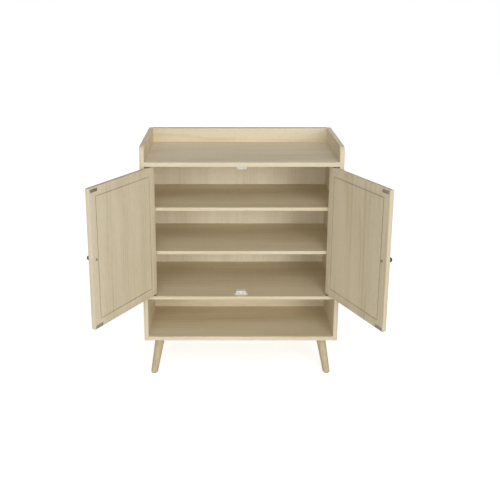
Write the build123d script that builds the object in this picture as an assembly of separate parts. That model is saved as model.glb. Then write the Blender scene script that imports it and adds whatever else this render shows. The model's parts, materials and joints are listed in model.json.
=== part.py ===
from build123d import *
import os
from math import cos, radians, sin, tan

# Shoe cabinet, millimetres. While modelling, X runs across the cabinet from its middle, Y runs
# back from the front plane of the boards, and Z runs up from the floor. The finished pieces are
# then moved so that the origin is on the floor, under the middle of the cabinet with its doors open.

# Overall
cabinet_width = 700
cabinet_depth = 350
leg_height = 150
rest_middle_x = -13
rest_middle_y = 35

# Boards
side_thickness = 16
board_thickness = 15
shelf_thickness = 12
back_thickness = 3
gallery_height = 54
gallery_corner_radius = 25
low_compartment_height = 146
door_opening_height = 478
low_back_face = 255
shelf_setback = 27
shelf_pitch = 162
edge_round = 0.6
fit_gap = 0.1
strip_gap = 0.05
groove_gap = 0.3
panel_gap = 0.2
shelf_end_gap = 1
shelf_back_gap = 0.5

# Back panel in its grooves
back_face = cabinet_depth - board_thickness
groove_depth = 6
strip_width = 13.5
strip_lip = 1
strip_web = 1.4
nail_diameter = 1.6
nail_length = 16
nail_hole_depth = 14
nail_head = (4, 0.8)
nail_places = (25, 110, 210, 310)

# Doors
door_thickness = 15
door_side_gap = 2
door_end_gap = 3
door_groove_inset = 28.5
door_groove_width = 3
door_groove_depth = 2
door_edge_round = 1
door_middle_gap = 2
left_open_angle = 121.5
right_open_angle = 115.5

# Pivot hinges
pivot_inset = 16
pivot_depth = 7.5
pin_diameter = 5
pin_reach = 10
pin_clearance = 0.05
hinge_plate = (27, 13, 1.2)
bush_plate = (30, 11, 1.2)
bush_diameter = 9
washer_thickness = 1.5
pin_end_gap = 0.05
pin_chamfer = 0.6
hinge_plate_corner = 4
hinge_screw_spacing = 18
bush_plate_corner = 3
bush_screw_spacing = 21

# Catches and their strike plates
catch_body = (33, 19, 13)
catch_base = (48, 19, 3.2)
catch_ear_x = 20
catch_face = 17
catch_cell_x = 8
catch_front_wall = 0.9
catch_ear_corner = 6
catch_edge_round = 1.2
catch_face_round = 1
magnet = (11, 12, 3.6)
pole_thickness = 1.2
pole_stand_out = 0.5
pole_gap = 0.02
strike_plate = (34, 10.5, 1.2)
strike_corner = 2.5
strike_from_free_edge = 3.6
strike_from_top = 4
strike_from_bottom = 2.2

# Knobs
knob_from_free_edge = 20
knob_diameter = 18
knob_length = 22
knob_stem_diameter = 9
knob_base_flare = (1, 4)
knob_flare_angle = 25
knob_thread_diameter = 4
knob_thread_length = 10
knob_screw_head = (8, 2.4)
knob_screw_slot = (4.6, 2.4, 1)

# Legs
leg_top_diameter = 36
leg_foot_diameter = 25
leg_splay = 10
leg_foot_x = 321.5
leg_foot_from_edge = 40
leg_plate_side = 56
leg_plate_thickness = 2
leg_plate_hole = 21
leg_bolt_diameter = 8
leg_bolt_length = 48
leg_bolt_into_leg = 38
leg_foot_round = 1.5
leg_plate_corner = 7
glide_thickness = 2.5
glide_diameter = 20
glide_chamfer = 0.8
glide_pin = (2, 10)

# Board joints
cam_from_end = 34
cam_diameter = 15
cam_height = 12
small_cam_height = 9.5
cam_slot = (9.3, 2, 5)
cam_bolt_diameter = 6
cam_bolt_neck = (3.5, 3)
cam_bolt_head = 2
cam_bolt_short_of_cam = 6
joint_into_side = 11
dowel_diameter = 8
dowel_into_board = 20
dowel_chamfer = 0.8
thin_dowel = (6, 22)
thin_dowel_into_shelf = 8
cam_rows = (112, 238)
dowel_rows = (30, 320)
low_back_dowels = (-240, 0, 240)
low_back_screws = (-200, 0, 200)
rail_screws = (-270, -90, 90, 270)
rail_screw_from_top = 5.5

# Shelf pins
shelf_pin_diameter = 5
shelf_pin_length = 18
shelf_pin_into_side = 10
shelf_pin_collar = (7.5, 1.2)
shelf_pin_from_front = 38
shelf_pin_from_back = 45

# Levels
floor_board_under = leg_height
floor_board_top = floor_board_under + board_thickness
fixed_shelf_under = floor_board_top + low_compartment_height
fixed_shelf_top = fixed_shelf_under + shelf_thickness
top_board_under = fixed_shelf_top + door_opening_height
top_board_top = top_board_under + board_thickness
gallery_top = top_board_top + gallery_height
inner_half = cabinet_width / 2 - side_thickness
door_inner_edge = door_middle_gap / 2
door_width = inner_half - door_side_gap - door_inner_edge
door_bottom = fixed_shelf_top + door_end_gap
door_top = top_board_under - door_end_gap
lower_shelf_top = fixed_shelf_top + shelf_pitch
upper_shelf_top = fixed_shelf_top + 2 * shelf_pitch
pivot_x = inner_half - door_side_gap - pivot_inset

SIDES = {"left": -1, "right": 1}


def aimed(point, direction):
    """Place at point, with the local Z along direction."""
    return Plane(origin=point, z_dir=direction).location


def block(low, high):
    """Box between two corners."""
    size = [high[axis] - low[axis] for axis in range(3)]
    return Pos(*low) * Box(*size, align=(Align.MIN, Align.MIN, Align.MIN))


def rod(diameter, length, point, direction):
    """Round bar that starts at point and runs along direction."""
    bar = Cylinder(diameter / 2, length, align=(Align.CENTER, Align.CENTER, Align.MIN))
    return aimed(point, direction) * bar


def rounded_front(board, radius=edge_round):
    """Round the long front edges of a board that spans the cabinet."""
    front = board.faces().sort_by(Axis.Y)[0]
    return fillet(front.edges().filter_by(Axis.X), radius)


def screw(diameter, length, head_diameter, head_height, point, direction):
    """Countersunk screw whose head is flush at point and whose shank runs along direction."""
    shank = Cylinder(diameter / 2, length, align=(Align.CENTER, Align.CENTER, Align.MIN))
    head = Cone(head_diameter / 2, diameter / 2, head_height, align=(Align.CENTER, Align.CENTER, Align.MIN))
    slot = Box(head_diameter * 0.6, head_diameter * 0.14, head_height * 0.8)
    body = shank + head
    body = body - slot - Rot(0, 0, 90) * slot
    return aimed(point, direction) * body


def screw_hole(diameter, length, head_diameter, head_height, point, direction):
    """Hole for such a screw, with a little room all round."""
    shank = Cylinder(diameter / 2 + fit_gap, length + fit_gap, align=(Align.CENTER, Align.CENTER, Align.MIN))
    wide = head_diameter / 2 + fit_gap
    head = Cone(wide, diameter / 2 + fit_gap, head_height, align=(Align.CENTER, Align.CENTER, Align.MIN))
    return aimed(point, direction) * (shank + head)


# Screw families: diameter, length, head diameter, head height
HINGE_SCREW = (3, 11, 6, 1.1)
BUSH_SCREW = (2.5, 12, 4.6, 1.1)
STRIKE_SCREW = (3, 10, 5.6, 1.1)
CATCH_SCREW = (3, 13, 5.6, 1.8)
LEG_SCREW = (4, 13, 7.6, 1.8)
RAIL_SCREW = (4.5, 40, 8.5, 3)


def joint_points():
    """Board joints: middle height of the board, its underside and the height of its cams."""
    return (
        (floor_board_under + board_thickness / 2, floor_board_under, cam_height),
        (fixed_shelf_under + shelf_thickness / 2, fixed_shelf_under, small_cam_height),
        (top_board_under + board_thickness / 2, top_board_under, cam_height),
    )


def cam_pockets(level, under, height):
    """Cam pockets, bolt bores and dowel bores at both ends of one board."""
    cuts = []
    for side in SIDES.values():
        end = side * inner_half
        for y in cam_rows:
            centre = (end - side * cam_from_end, y, under)
            cuts.append(rod(cam_diameter + 2 * fit_gap, height + fit_gap, centre, (0, 0, 1)))
            cuts.append(rod(cam_bolt_diameter + 4 * fit_gap, cam_from_end, (end, y, level), (-side, 0, 0)))
        for y in dowel_rows:
            start = (end, y, level)
            cuts.append(rod(dowel_diameter + 2 * fit_gap, dowel_into_board + 1, start, (-side, 0, 0)))
    return cuts


def make_side(side):
    """Side panel: full height, rounded at the front top corner, bored and grooved inside."""
    outer = side * cabinet_width / 2
    inner = side * inner_half
    low_x, high_x = sorted((outer, inner))
    panel = block((low_x, 0, floor_board_under), (high_x, cabinet_depth, gallery_top))
    corner = panel.edges().filter_by(Axis.X).group_by(Axis.Z)[-1].sort_by(Axis.Y)[0]
    panel = fillet(corner, gallery_corner_radius)
    seen = []
    for face in panel.faces().filter_by(Axis.X):
        for edge in face.edges():
            spot = edge.center()
            if spot.Y < cabinet_depth - 1 and spot.Z > floor_board_under + 1:
                seen.append(edge)
    panel = fillet(seen, edge_round)
    low_x, high_x = sorted((inner, inner + side * (groove_depth + groove_gap)))
    panel -= block(
        (low_x, back_face - fit_gap, fixed_shelf_under - fit_gap),
        (high_x, back_face + back_thickness + fit_gap, top_board_under + groove_depth),
    )
    bores = [(cam_bolt_diameter, y) for y in cam_rows] + [(dowel_diameter, y) for y in dowel_rows]
    for level, _, _ in joint_points():
        for diameter, y in bores:
            start = (inner, y, level)
            panel -= rod(diameter + 2 * fit_gap, joint_into_side + fit_gap, start, (side, 0, 0))
    for point in pin_points(side):
        panel -= rod(shelf_pin_diameter + 2 * fit_gap, shelf_pin_into_side + fit_gap, point, (side, 0, 0))
    return panel


def pin_points(side):
    """Where the shelf pins enter one side panel."""
    points = []
    for top in (lower_shelf_top, upper_shelf_top):
        z = top - shelf_thickness - panel_gap - shelf_pin_diameter / 2
        for y in (shelf_setback + shelf_pin_from_front, back_face - shelf_pin_from_back):
            points.append((side * inner_half, y, z))
    return points


def make_shelf_pins():
    """Eight steel pins, each with a collar against the side panel, flat where the shelf lies."""
    pins = []
    wide, thick = shelf_pin_collar
    for side in SIDES.values():
        for x, y, z in pin_points(side):
            start = (x + side * shelf_pin_into_side, y, z)
            stud = rod(shelf_pin_diameter, shelf_pin_length, start, (-side, 0, 0))
            collar = rod(wide, thick, (x - side * fit_gap, y, z), (-side, 0, 0))
            shelf_face = z + shelf_pin_diameter / 2
            below_shelf = block((-inner_half, y - wide, z - wide), (inner_half, y + wide, shelf_face))
            pins.append(stud + (collar & below_shelf))
    return pins


def make_spanning_board(level, under, height, top, depth):
    """Board between the sides with its cam pockets."""
    board = rounded_front(block((-inner_half, 0, under), (inner_half, depth, top)))
    for cut in cam_pockets(level, under, height):
        board -= cut
    return board


def make_top_board():
    """Top board. It stops against the back rail and carries the upper catch and hinge plates."""
    level, under, height = joint_points()[2]
    board = make_spanning_board(level, under, height, top_board_top, back_face)
    for point in rail_screw_points():
        board -= screw_hole(*RAIL_SCREW, point, (0, -1, 0))
    for name in SIDES:
        for point in hinge_screw_points(name):
            board -= screw_hole(*HINGE_SCREW, (*point, under - hinge_plate[2]), (0, 0, 1))
    for x in (-catch_ear_x, catch_ear_x):
        board -= screw_hole(*CATCH_SCREW, (x, catch_middle_y(), under - catch_base[2]), (0, 0, 1))
    return board


def make_bottom_board():
    """Bottom board, bored for the leg plates, the leg bolts and the lower back panel."""
    level, under, height = joint_points()[0]
    board = make_spanning_board(level, under, height, floor_board_top, cabinet_depth)
    for leg in leg_places().values():
        board -= leg_bolt_hole(leg)
        for point in leg_screw_points(leg):
            board -= screw_hole(*LEG_SCREW, point, (0, 0, 1))
    for point in low_back_screw_points():
        board -= screw_hole(*RAIL_SCREW, point, (0, 0, 1))
    return board


def make_fixed_shelf():
    """Fixed shelf under the doors. It stops against the back panel."""
    level, under, height = joint_points()[1]
    board = make_spanning_board(level, under, height, fixed_shelf_top, back_face - fit_gap)
    for name in SIDES:
        for point in hinge_screw_points(name):
            board -= screw_hole(*HINGE_SCREW, (*point, fixed_shelf_top + hinge_plate[2]), (0, 0, -1))
    for x in (-catch_ear_x, catch_ear_x):
        hole_top = fixed_shelf_top + catch_base[2]
        board -= screw_hole(*CATCH_SCREW, (x, catch_middle_y(), hole_top), (0, 0, -1))
    for x, _, z in nail_points():
        board -= rod(nail_diameter + 2 * fit_gap, nail_hole_depth, (x, back_face, z), (0, -1, 0))
    for x in low_back_dowels:
        start = (x, low_back_face + board_thickness / 2, under)
        board -= rod(thin_dowel[0] + 2 * fit_gap, thin_dowel_into_shelf + fit_gap, start, (0, 0, 1))
    return board


def make_shelf(top):
    """Adjustable shelf, lying loose on its four pins."""
    half = inner_half - shelf_end_gap
    rear = back_face - strip_lip - shelf_back_gap
    board = block((-half, shelf_setback, top - shelf_thickness), (half, rear, top))
    return rounded_front(board)


def rail_screw_points():
    """Screws driven forward through the back rail into the rear edge of the top board."""
    return [(x, cabinet_depth, top_board_top - rail_screw_from_top) for x in rail_screws]


def make_back_rail():
    """Back rail behind the top board, with a rebate that takes the top of the back panel."""
    rail = block((-inner_half, back_face, top_board_under), (inner_half, cabinet_depth, gallery_top))
    top_edges = rail.faces().sort_by(Axis.Z)[-1].edges().filter_by(Axis.X)
    rail = fillet(top_edges, edge_round)
    rail -= block(
        (-inner_half - 1, back_face - 1, top_board_under - 1),
        (inner_half + 1, back_face + back_thickness + fit_gap, top_board_under + groove_depth + panel_gap),
    )
    for point in rail_screw_points():
        rail -= screw_hole(*RAIL_SCREW, point, (0, -1, 0))
    return rail


def low_back_screw_points():
    """Screws that come up through the bottom board into the lower back panel."""
    return [(x, low_back_face + board_thickness / 2, floor_board_under) for x in low_back_screws]


def make_lower_back():
    """Back of the open compartment, a board set forward of the rear edge."""
    panel = block(
        (-inner_half, low_back_face, floor_board_top),
        (inner_half, low_back_face + board_thickness, fixed_shelf_under),
    )
    for point in low_back_screw_points():
        panel -= screw_hole(*RAIL_SCREW, point, (0, 0, 1))
    for x in low_back_dowels:
        spot = (x, low_back_face + board_thickness / 2, fixed_shelf_under)
        depth = thin_dowel[1] - thin_dowel_into_shelf + 1 + fit_gap
        panel -= rod(thin_dowel[0] + 2 * fit_gap, depth, spot, (0, 0, -1))
    return panel


def make_back_panel(side):
    """One half of the thin back panel, held in the grooves and in the joint strip."""
    inner = strip_web / 2 + groove_gap
    outer = inner_half + groove_depth - panel_gap
    low_x, high_x = sorted((side * inner, side * outer))
    panel = block(
        (low_x, back_face, fixed_shelf_under),
        (high_x, back_face + back_thickness, top_board_under + groove_depth - panel_gap),
    )
    for x, y, z in nail_points():
        if x * side > 0:
            start = (x, y - back_thickness - 1, z)
            panel -= rod(nail_diameter + 2 * fit_gap, 2 * back_thickness, start, (0, 1, 0))
    return panel


def make_joint_strip():
    """Plastic strip of H section that joins the two back panels."""
    low, high = fixed_shelf_top + panel_gap, top_board_under - panel_gap
    half, half_web = strip_width / 2, strip_web / 2
    rear_face = back_face + back_thickness
    overlap = strip_lip / 2
    front = block((-half, back_face - strip_lip, low), (half, back_face - strip_gap, high))
    rear = block((-half, rear_face + strip_gap, low), (half, rear_face + strip_lip, high))
    web = block((-half_web, back_face - overlap, low), (half_web, rear_face + overlap, high))
    return front + web + rear


def nail_points():
    """Nail heads on the back panel, level with the middle of the fixed shelf."""
    level = fixed_shelf_under + shelf_thickness / 2
    return [(side * x, back_face + back_thickness, level) for side in SIDES.values() for x in nail_places]


def make_nails():
    """Panel nails, driven forward into the fixed shelf."""
    nails = []
    for point in nail_points():
        nails.append(rod(nail_diameter, nail_length, point, (0, -1, 0)) + rod(*nail_head, point, (0, 1, 0)))
    return nails


def make_cams():
    """Cam locks, each a zinc drum with a cross slot in its lower face and a mouth for the bolt."""
    cams = []
    for level, under, height in joint_points():
        for side in SIDES.values():
            for y in cam_rows:
                x = side * (inner_half - cam_from_end)
                drum = rod(cam_diameter, height, (x, y, under), (0, 0, 1))
                drum -= Pos(x, y, under) * Box(*cam_slot)
                drum -= Pos(x, y, under) * Rot(0, 0, 90) * Box(*cam_slot)
                mouth = cam_bolt_diameter + 6 * fit_gap
                drum -= rod(mouth, cam_diameter / 2, (x + side * cam_diameter / 2, y, level), (-side, 0, 0))
                cams.append(drum)
    return cams


def make_cam_bolts():
    """Cam bolts, screwed into the side panels, with a neck and a head inside the cam."""
    bolts = []
    for level, _, _ in joint_points():
        for side in SIDES.values():
            for y in cam_rows:
                start = side * (inner_half + joint_into_side)
                reach = joint_into_side + cam_from_end - cam_bolt_short_of_cam
                bolt = rod(cam_bolt_diameter, reach, (start, y, level), (-side, 0, 0))
                neck_at = start - side * reach
                head_at = neck_at - side * cam_bolt_neck[1]
                bolt += rod(*cam_bolt_neck, (neck_at, y, level), (-side, 0, 0))
                bolt += rod(cam_bolt_diameter, cam_bolt_head, (head_at, y, level), (-side, 0, 0))
                bolts.append(bolt)
    return bolts


def make_dowels():
    """Beech dowels: two at each board end and three over the lower back panel."""
    dowels = []
    for level, _, _ in joint_points():
        for side in SIDES.values():
            for y in dowel_rows:
                start = (side * (inner_half + joint_into_side), y, level)
                peg = rod(dowel_diameter, joint_into_side + dowel_into_board, start, (-side, 0, 0))
                dowels.append(chamfer(peg.edges().filter_by(GeomType.CIRCLE), dowel_chamfer))
    for x in low_back_dowels:
        spot = (x, low_back_face + board_thickness / 2, fixed_shelf_under + thin_dowel_into_shelf)
        dowels.append(rod(*thin_dowel, spot, (0, 0, -1)))
    return dowels


def leg_places():
    """Foot centre, and the direction of the axis up to the cabinet, of each leg."""
    lean = tan(radians(leg_splay))
    places = {}
    for x_name, x_side in SIDES.items():
        for y_name, y_side in (("front", -1), ("rear", 1)):
            y = cabinet_depth / 2 + y_side * (cabinet_depth / 2 - leg_foot_from_edge)
            foot = Vector(x_side * leg_foot_x, y, 0)
            places[f"{y_name}_{x_name}"] = (foot, Vector(-x_side * lean, -y_side * lean, 1))
    return places


def on_leg_axis(leg, height):
    """Point of a leg's axis at a height."""
    foot, axis = leg
    return foot + axis * height


def make_leg(leg):
    """Turned leg: a splayed taper, cut level at the floor and at its plate."""
    foot, axis = leg
    taper = (leg_top_diameter - leg_foot_diameter) / 2 / leg_height
    spare = 20
    length = leg_height * axis.length + 2 * spare
    cone = Cone(leg_foot_diameter / 2 - taper * spare, leg_top_diameter / 2 + taper * spare, length,
                align=(Align.CENTER, Align.CENTER, Align.MIN))
    start = foot - axis.normalized() * spare
    turned = aimed(start, axis) * cone
    top = floor_board_under - leg_plate_thickness
    reach = 2 * leg_top_diameter + leg_foot_diameter
    window = block((foot.X - reach, foot.Y - reach, glide_thickness), (foot.X + reach, foot.Y + reach, top))
    turned = turned & window
    turned = fillet(turned.faces().sort_by(Axis.Z)[0].edges(), leg_foot_round)
    turned -= rod(leg_bolt_diameter + 2 * fit_gap, leg_bolt_into_leg + 4, on_leg_axis(leg, top + 1), -axis)
    turned -= rod(glide_pin[0] + 2 * fit_gap, glide_pin[1] + 2, (foot.X, foot.Y, 0), (0, 0, 1))
    return turned


def leg_bolt_hole(leg):
    """Tilted hole for a leg's bolt, through the plate and into the bottom board."""
    return rod(leg_bolt_diameter + 2 * fit_gap, 18, on_leg_axis(leg, floor_board_under - 6), leg[1])


def leg_screw_points(leg):
    """Four screws at the corners of a leg's plate."""
    middle = on_leg_axis(leg, floor_board_under)
    z = floor_board_under - leg_plate_thickness
    offsets = (-leg_plate_hole, leg_plate_hole)
    return [(middle.X + dx, middle.Y + dy, z) for dx in offsets for dy in offsets]


def make_leg_plate(leg):
    """Steel plate between a leg and the bottom board."""
    middle = on_leg_axis(leg, floor_board_under)
    plate = Pos(middle.X, middle.Y, floor_board_under - leg_plate_thickness / 2) * Box(
        leg_plate_side, leg_plate_side, leg_plate_thickness)
    plate = fillet(plate.edges().filter_by(Axis.Z), leg_plate_corner)
    plate -= leg_bolt_hole(leg)
    for point in leg_screw_points(leg):
        plate -= screw_hole(*LEG_SCREW, point, (0, 0, 1))
    return plate


def make_leg_bolts():
    """Hanger bolts that hold the legs."""
    bolts = []
    for leg in leg_places().values():
        start = on_leg_axis(leg, floor_board_under - leg_bolt_into_leg)
        bolts.append(rod(leg_bolt_diameter, leg_bolt_length, start, leg[1]))
    return bolts


def make_glides():
    """Plastic glides nailed under the feet."""
    glides = []
    for foot, _ in leg_places().values():
        pad = rod(glide_diameter, glide_thickness, (foot.X, foot.Y, 0), (0, 0, 1))
        pad = chamfer(pad.edges().sort_by(Axis.Z)[0], glide_chamfer)
        glides.append(pad + rod(*glide_pin, (foot.X, foot.Y, 1), (0, 0, 1)))
    return glides


def catch_middle_y():
    """Depth of a catch's middle line."""
    return catch_face + catch_base[1] / 2


def catch_frame(upper):
    """Where a catch's base sits, and which way its body stands."""
    return (top_board_under, -1) if upper else (fixed_shelf_top, 1)


def catch_pieces(upper):
    """Housing, magnets and pole plates of one double magnetic catch."""
    base_z, up = catch_frame(upper)
    middle = catch_middle_y()

    def standing(size, x, y_front, low):
        z_low, z_high = sorted((base_z + up * low, base_z + up * (low + size[2])))
        half = size[0] / 2
        return block((x - half, y_front, z_low), (x + half, y_front + size[1], z_high))

    base = standing(catch_base, 0, catch_face, 0)
    base = fillet(base.edges().filter_by(Axis.Z), catch_ear_corner)
    body = standing(catch_body, 0, catch_face, 0)
    body = fillet(body.edges().filter_by(Axis.Z), catch_edge_round)
    far_face = body.faces().sort_by(Axis.Z)[-1 if up > 0 else 0]
    body = fillet(far_face.edges(), catch_face_round)
    housing = base + body
    stack = magnet[2] + 2 * pole_thickness
    first = (catch_body[2] - stack) / 2
    second = first + pole_thickness + magnet[2]
    pole = (magnet[0], magnet[1] + 1 + pole_stand_out, pole_thickness - pole_gap)
    cell = (magnet[0] + 2 * fit_gap, magnet[1] + 2, stack + 2 * fit_gap)
    mouth = (magnet[0] + 2 * fit_gap, 2, pole_thickness + fit_gap)
    magnets, poles = [], []
    for x in (-catch_cell_x, catch_cell_x):
        housing -= standing(cell, x, catch_face + catch_front_wall, first - fit_gap)
        for low in (first - fit_gap, second):
            housing -= standing(mouth, x, catch_face - 1, low)
        magnets.append(standing(magnet, x, catch_face + 1, first + pole_thickness))
        for low in (first, second + pole_gap):
            poles.append(standing(pole, x, catch_face - pole_stand_out, low))
    for x in (-catch_ear_x, catch_ear_x):
        head_z = base_z + up * catch_base[2]
        housing -= screw_hole(*CATCH_SCREW, (x, middle, head_z), (0, 0, -up))
    return housing, magnets, poles


def make_catch_screws():
    """Screws through the ears of both catches."""
    screws = []
    for upper in (False, True):
        base_z, up = catch_frame(upper)
        for x in (-catch_ear_x, catch_ear_x):
            head = (x, catch_middle_y(), base_z + up * catch_base[2])
            screws.append(screw(*CATCH_SCREW, head, (0, 0, -up)))
    return screws


def hinge_screw_points(name):
    """The two screws of a cabinet hinge plate, either side of the pin."""
    middle, half = SIDES[name] * pivot_x, hinge_screw_spacing / 2
    return [(middle - half, pivot_depth), (middle + half, pivot_depth)]


def hinge_levels():
    """Cabinet face, direction away from it, and the door end, at the top and at the bottom."""
    return {"top": (top_board_under, -1, door_top), "bottom": (fixed_shelf_top, 1, door_bottom)}


def make_hinge_plate(name, where):
    """Cabinet plate of one pivot hinge."""
    face, away, _ = hinge_levels()[where]
    length, width, thickness = hinge_plate
    x = SIDES[name] * pivot_x
    low, high = sorted((face, face + away * thickness))
    half_x, half_y = length / 2, width / 2
    plate = block((x - half_x, pivot_depth - half_y, low), (x + half_x, pivot_depth + half_y, high))
    plate = fillet(plate.edges().filter_by(Axis.Z), hinge_plate_corner)
    plate -= rod(pin_diameter + 2 * fit_gap, 2 * thickness, (x, pivot_depth, low - thickness / 2), (0, 0, 1))
    for point in hinge_screw_points(name):
        plate -= screw_hole(*HINGE_SCREW, (*point, face + away * thickness), (0, 0, -away))
    return plate


def make_hinge_pins():
    """Pins riveted in the cabinet plates, reaching into the door bushes."""
    pins = []
    for side in SIDES.values():
        for face, away, door_end in hinge_levels().values():
            length = abs(door_end - face) + pin_reach
            start = (side * pivot_x, pivot_depth, face + away * pin_end_gap)
            pin = rod(pin_diameter, length, start, (0, 0, away))
            tip = pin.edges().sort_by(Axis.Z)[-1 if away > 0 else 0]
            pins.append(chamfer(tip, pin_chamfer))
    return pins


def make_washers():
    """Nylon washers under the doors."""
    washers = []
    face = fixed_shelf_top + hinge_plate[2]
    for side in SIDES.values():
        washer = rod(bush_diameter, washer_thickness, (side * pivot_x, pivot_depth, face), (0, 0, 1))
        washer -= rod(pin_diameter + 2 * fit_gap, 4, (side * pivot_x, pivot_depth, face - 1), (0, 0, 1))
        washers.append(washer)
    return washers


def make_hinge_plate_screws():
    """Screws of the four cabinet hinge plates."""
    screws = []
    for name in SIDES:
        for face, away, _ in hinge_levels().values():
            for point in hinge_screw_points(name):
                head = (*point, face + away * hinge_plate[2])
                screws.append(screw(*HINGE_SCREW, head, (0, 0, -away)))
    return screws


def bush_screw_points(name):
    """The two screws of a door bush, either side of the pin."""
    middle, half = SIDES[name] * pivot_x, bush_screw_spacing / 2
    return [(middle - half, pivot_depth), (middle + half, pivot_depth)]


def bush_blank(name, where, spare):
    """Outer shape of a door bush, larger all round by spare."""
    _, away, door_end = hinge_levels()[where]
    length, width, thickness = bush_plate
    x = SIDES[name] * pivot_x
    low, high = sorted((door_end - away * spare, door_end + away * (thickness + spare)))
    half_x, half_y = length / 2 + spare, width / 2 + spare
    plate = block((x - half_x, pivot_depth - half_y, low), (x + half_x, pivot_depth + half_y, high))
    plate = fillet(plate.edges().filter_by(Axis.Z), bush_plate_corner)
    tube = rod(bush_diameter + 2 * spare, pin_reach + 2 + spare, (x, pivot_depth, door_end), (0, 0, away))
    return plate + tube


def make_bushes(name):
    """Door bushes of one door, at the top and at the bottom."""
    bushes = []
    x = SIDES[name] * pivot_x
    for where, (_, away, door_end) in hinge_levels().items():
        bush = bush_blank(name, where, 0)
        bore = pin_diameter + 2 * pin_clearance
        bush -= rod(bore, pin_reach + 2, (x, pivot_depth, door_end - away), (0, 0, away))
        for point in bush_screw_points(name):
            bush -= screw_hole(*BUSH_SCREW, (*point, door_end), (0, 0, away))
        bushes.append(bush)
    return bushes


def make_bush_screws(name):
    """Screws that hold the bushes in the ends of one door."""
    screws = []
    for _, away, door_end in hinge_levels().values():
        for point in bush_screw_points(name):
            screws.append(screw(*BUSH_SCREW, (*point, door_end), (0, 0, away)))
    return screws


def strike_middles(name):
    """Middle of each strike plate on the inner face of a closed door."""
    x = SIDES[name] * (door_inner_edge + strike_from_free_edge + strike_plate[0] / 2)
    upper = door_top - strike_from_top - strike_plate[1] / 2
    lower = door_bottom + strike_from_bottom + strike_plate[1] / 2
    return [(x, door_thickness, z) for z in (upper, lower)]


def make_strikes(name):
    """Steel strike plates of one door."""
    plates = []
    length, height, thickness = strike_plate
    for x, y, z in strike_middles(name):
        plate = block((x - length / 2, y, z - height / 2), (x + length / 2, y + thickness, z + height / 2))
        plate = fillet(plate.edges().filter_by(Axis.Y), strike_corner)
        plate -= screw_hole(*STRIKE_SCREW, (x, y + thickness, z), (0, -1, 0))
        plates.append(plate)
    return plates


def make_strike_screws(name):
    """Screws in the middle of the strike plates."""
    return [screw(*STRIKE_SCREW, (x, y + strike_plate[2], z), (0, -1, 0)) for x, y, z in strike_middles(name)]


def knob_point(name):
    """Where a knob meets the outer face of a closed door."""
    x = SIDES[name] * (door_inner_edge + knob_from_free_edge)
    return (x, 0, (door_top + door_bottom) / 2)


def make_knob(name):
    """Turned knob: a slim stem that flares into a round head."""
    stem = knob_stem_diameter / 2
    head = knob_diameter / 2
    middle = knob_length - head
    flare_x = head * cos(radians(knob_flare_angle))
    flare_z = middle - head * sin(radians(knob_flare_angle))
    base_extra, base_height = knob_base_flare
    side_line = Polyline((0, 0), (stem + base_extra, 0), (stem, base_height), (flare_x, flare_z))
    crown = CenterArc((0, middle), head, -knob_flare_angle, 90 + knob_flare_angle)
    profile = Plane.XZ * make_face(side_line + crown + Line((0, knob_length), (0, 0)))
    turned = aimed(knob_point(name), (0, -1, 0)) * revolve(profile, Axis.Z)
    bore = knob_thread_diameter + 2 * fit_gap
    return turned - rod(bore, knob_thread_length + 1, knob_point(name), (0, -1, 0))


def make_knob_screw(name):
    """Machine screw with a pan head inside the door."""
    x, _, z = knob_point(name)
    length, depth, width = knob_screw_slot
    under_head = (x, door_thickness, z)
    shank = rod(knob_thread_diameter, door_thickness + knob_thread_length, under_head, (0, -1, 0))
    head = rod(*knob_screw_head, under_head, (0, 1, 0))
    head = fillet(head.edges().sort_by(Axis.Y)[-1], 1)
    top = Pos(x, door_thickness + knob_screw_head[1], z)
    return shank + head - top * Box(length, depth, width) - top * Box(width, depth, length)


def groove_loop(low_x, high_x, face, into):
    """Rectangular groove line on one face of a door."""
    inset, width, depth = door_groove_inset, door_groove_width, door_groove_depth
    y_low, y_high = sorted((face - into, face + into * depth))
    outer = block((low_x + inset, y_low, door_bottom + inset), (high_x - inset, y_high, door_top - inset))
    inset += width
    y_low, y_high = y_low - 1, y_high + 1
    inner = block((low_x + inset, y_low, door_bottom + inset), (high_x - inset, y_high, door_top - inset))
    return outer - inner


def make_door(name):
    """Door slab with a groove line on both faces, bored for its fittings."""
    side = SIDES[name]
    low_x, high_x = sorted((side * door_inner_edge, side * (door_inner_edge + door_width)))
    slab = block((low_x, 0, door_bottom), (high_x, door_thickness, door_top))
    slab = fillet(slab.edges().filter_by(Axis.Z), door_edge_round)
    slab -= groove_loop(low_x, high_x, 0, 1)
    slab -= groove_loop(low_x, high_x, door_thickness, -1)
    for where, (_, away, door_end) in hinge_levels().items():
        slab -= bush_blank(name, where, fit_gap)
        for point in bush_screw_points(name):
            slab -= screw_hole(*BUSH_SCREW, (*point, door_end), (0, 0, away))
    for x, y, z in strike_middles(name):
        slab -= screw_hole(*STRIKE_SCREW, (x, y + strike_plate[2], z), (0, -1, 0))
    x, _, z = knob_point(name)
    slab -= rod(knob_thread_diameter + 4 * fit_gap, door_thickness + 2, (x, -1, z), (0, 1, 0))
    return slab


def opened(name, shape):
    """Turn a piece of a closed door about its pins to the angle that it rests at."""
    side = SIDES[name]
    angle = left_open_angle if name == "left" else right_open_angle
    pin_axis = Axis((side * pivot_x, pivot_depth, 0), (0, 0, 1))
    return shape.rotate(pin_axis, side * angle)


def door_nodes(name):
    """All the pieces of one door."""
    pieces = {
        f"door_{name}": [make_door(name)],
        f"knob_{name}": [make_knob(name)],
        f"knob_screw_{name}": [make_knob_screw(name)],
        f"strike_plates_{name}": make_strikes(name),
        f"strike_screws_{name}": make_strike_screws(name),
        f"hinge_bushes_{name}": make_bushes(name),
        f"bush_screws_{name}": make_bush_screws(name),
    }
    return {node: [opened(name, shape) for shape in shapes] for node, shapes in pieces.items()}


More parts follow.
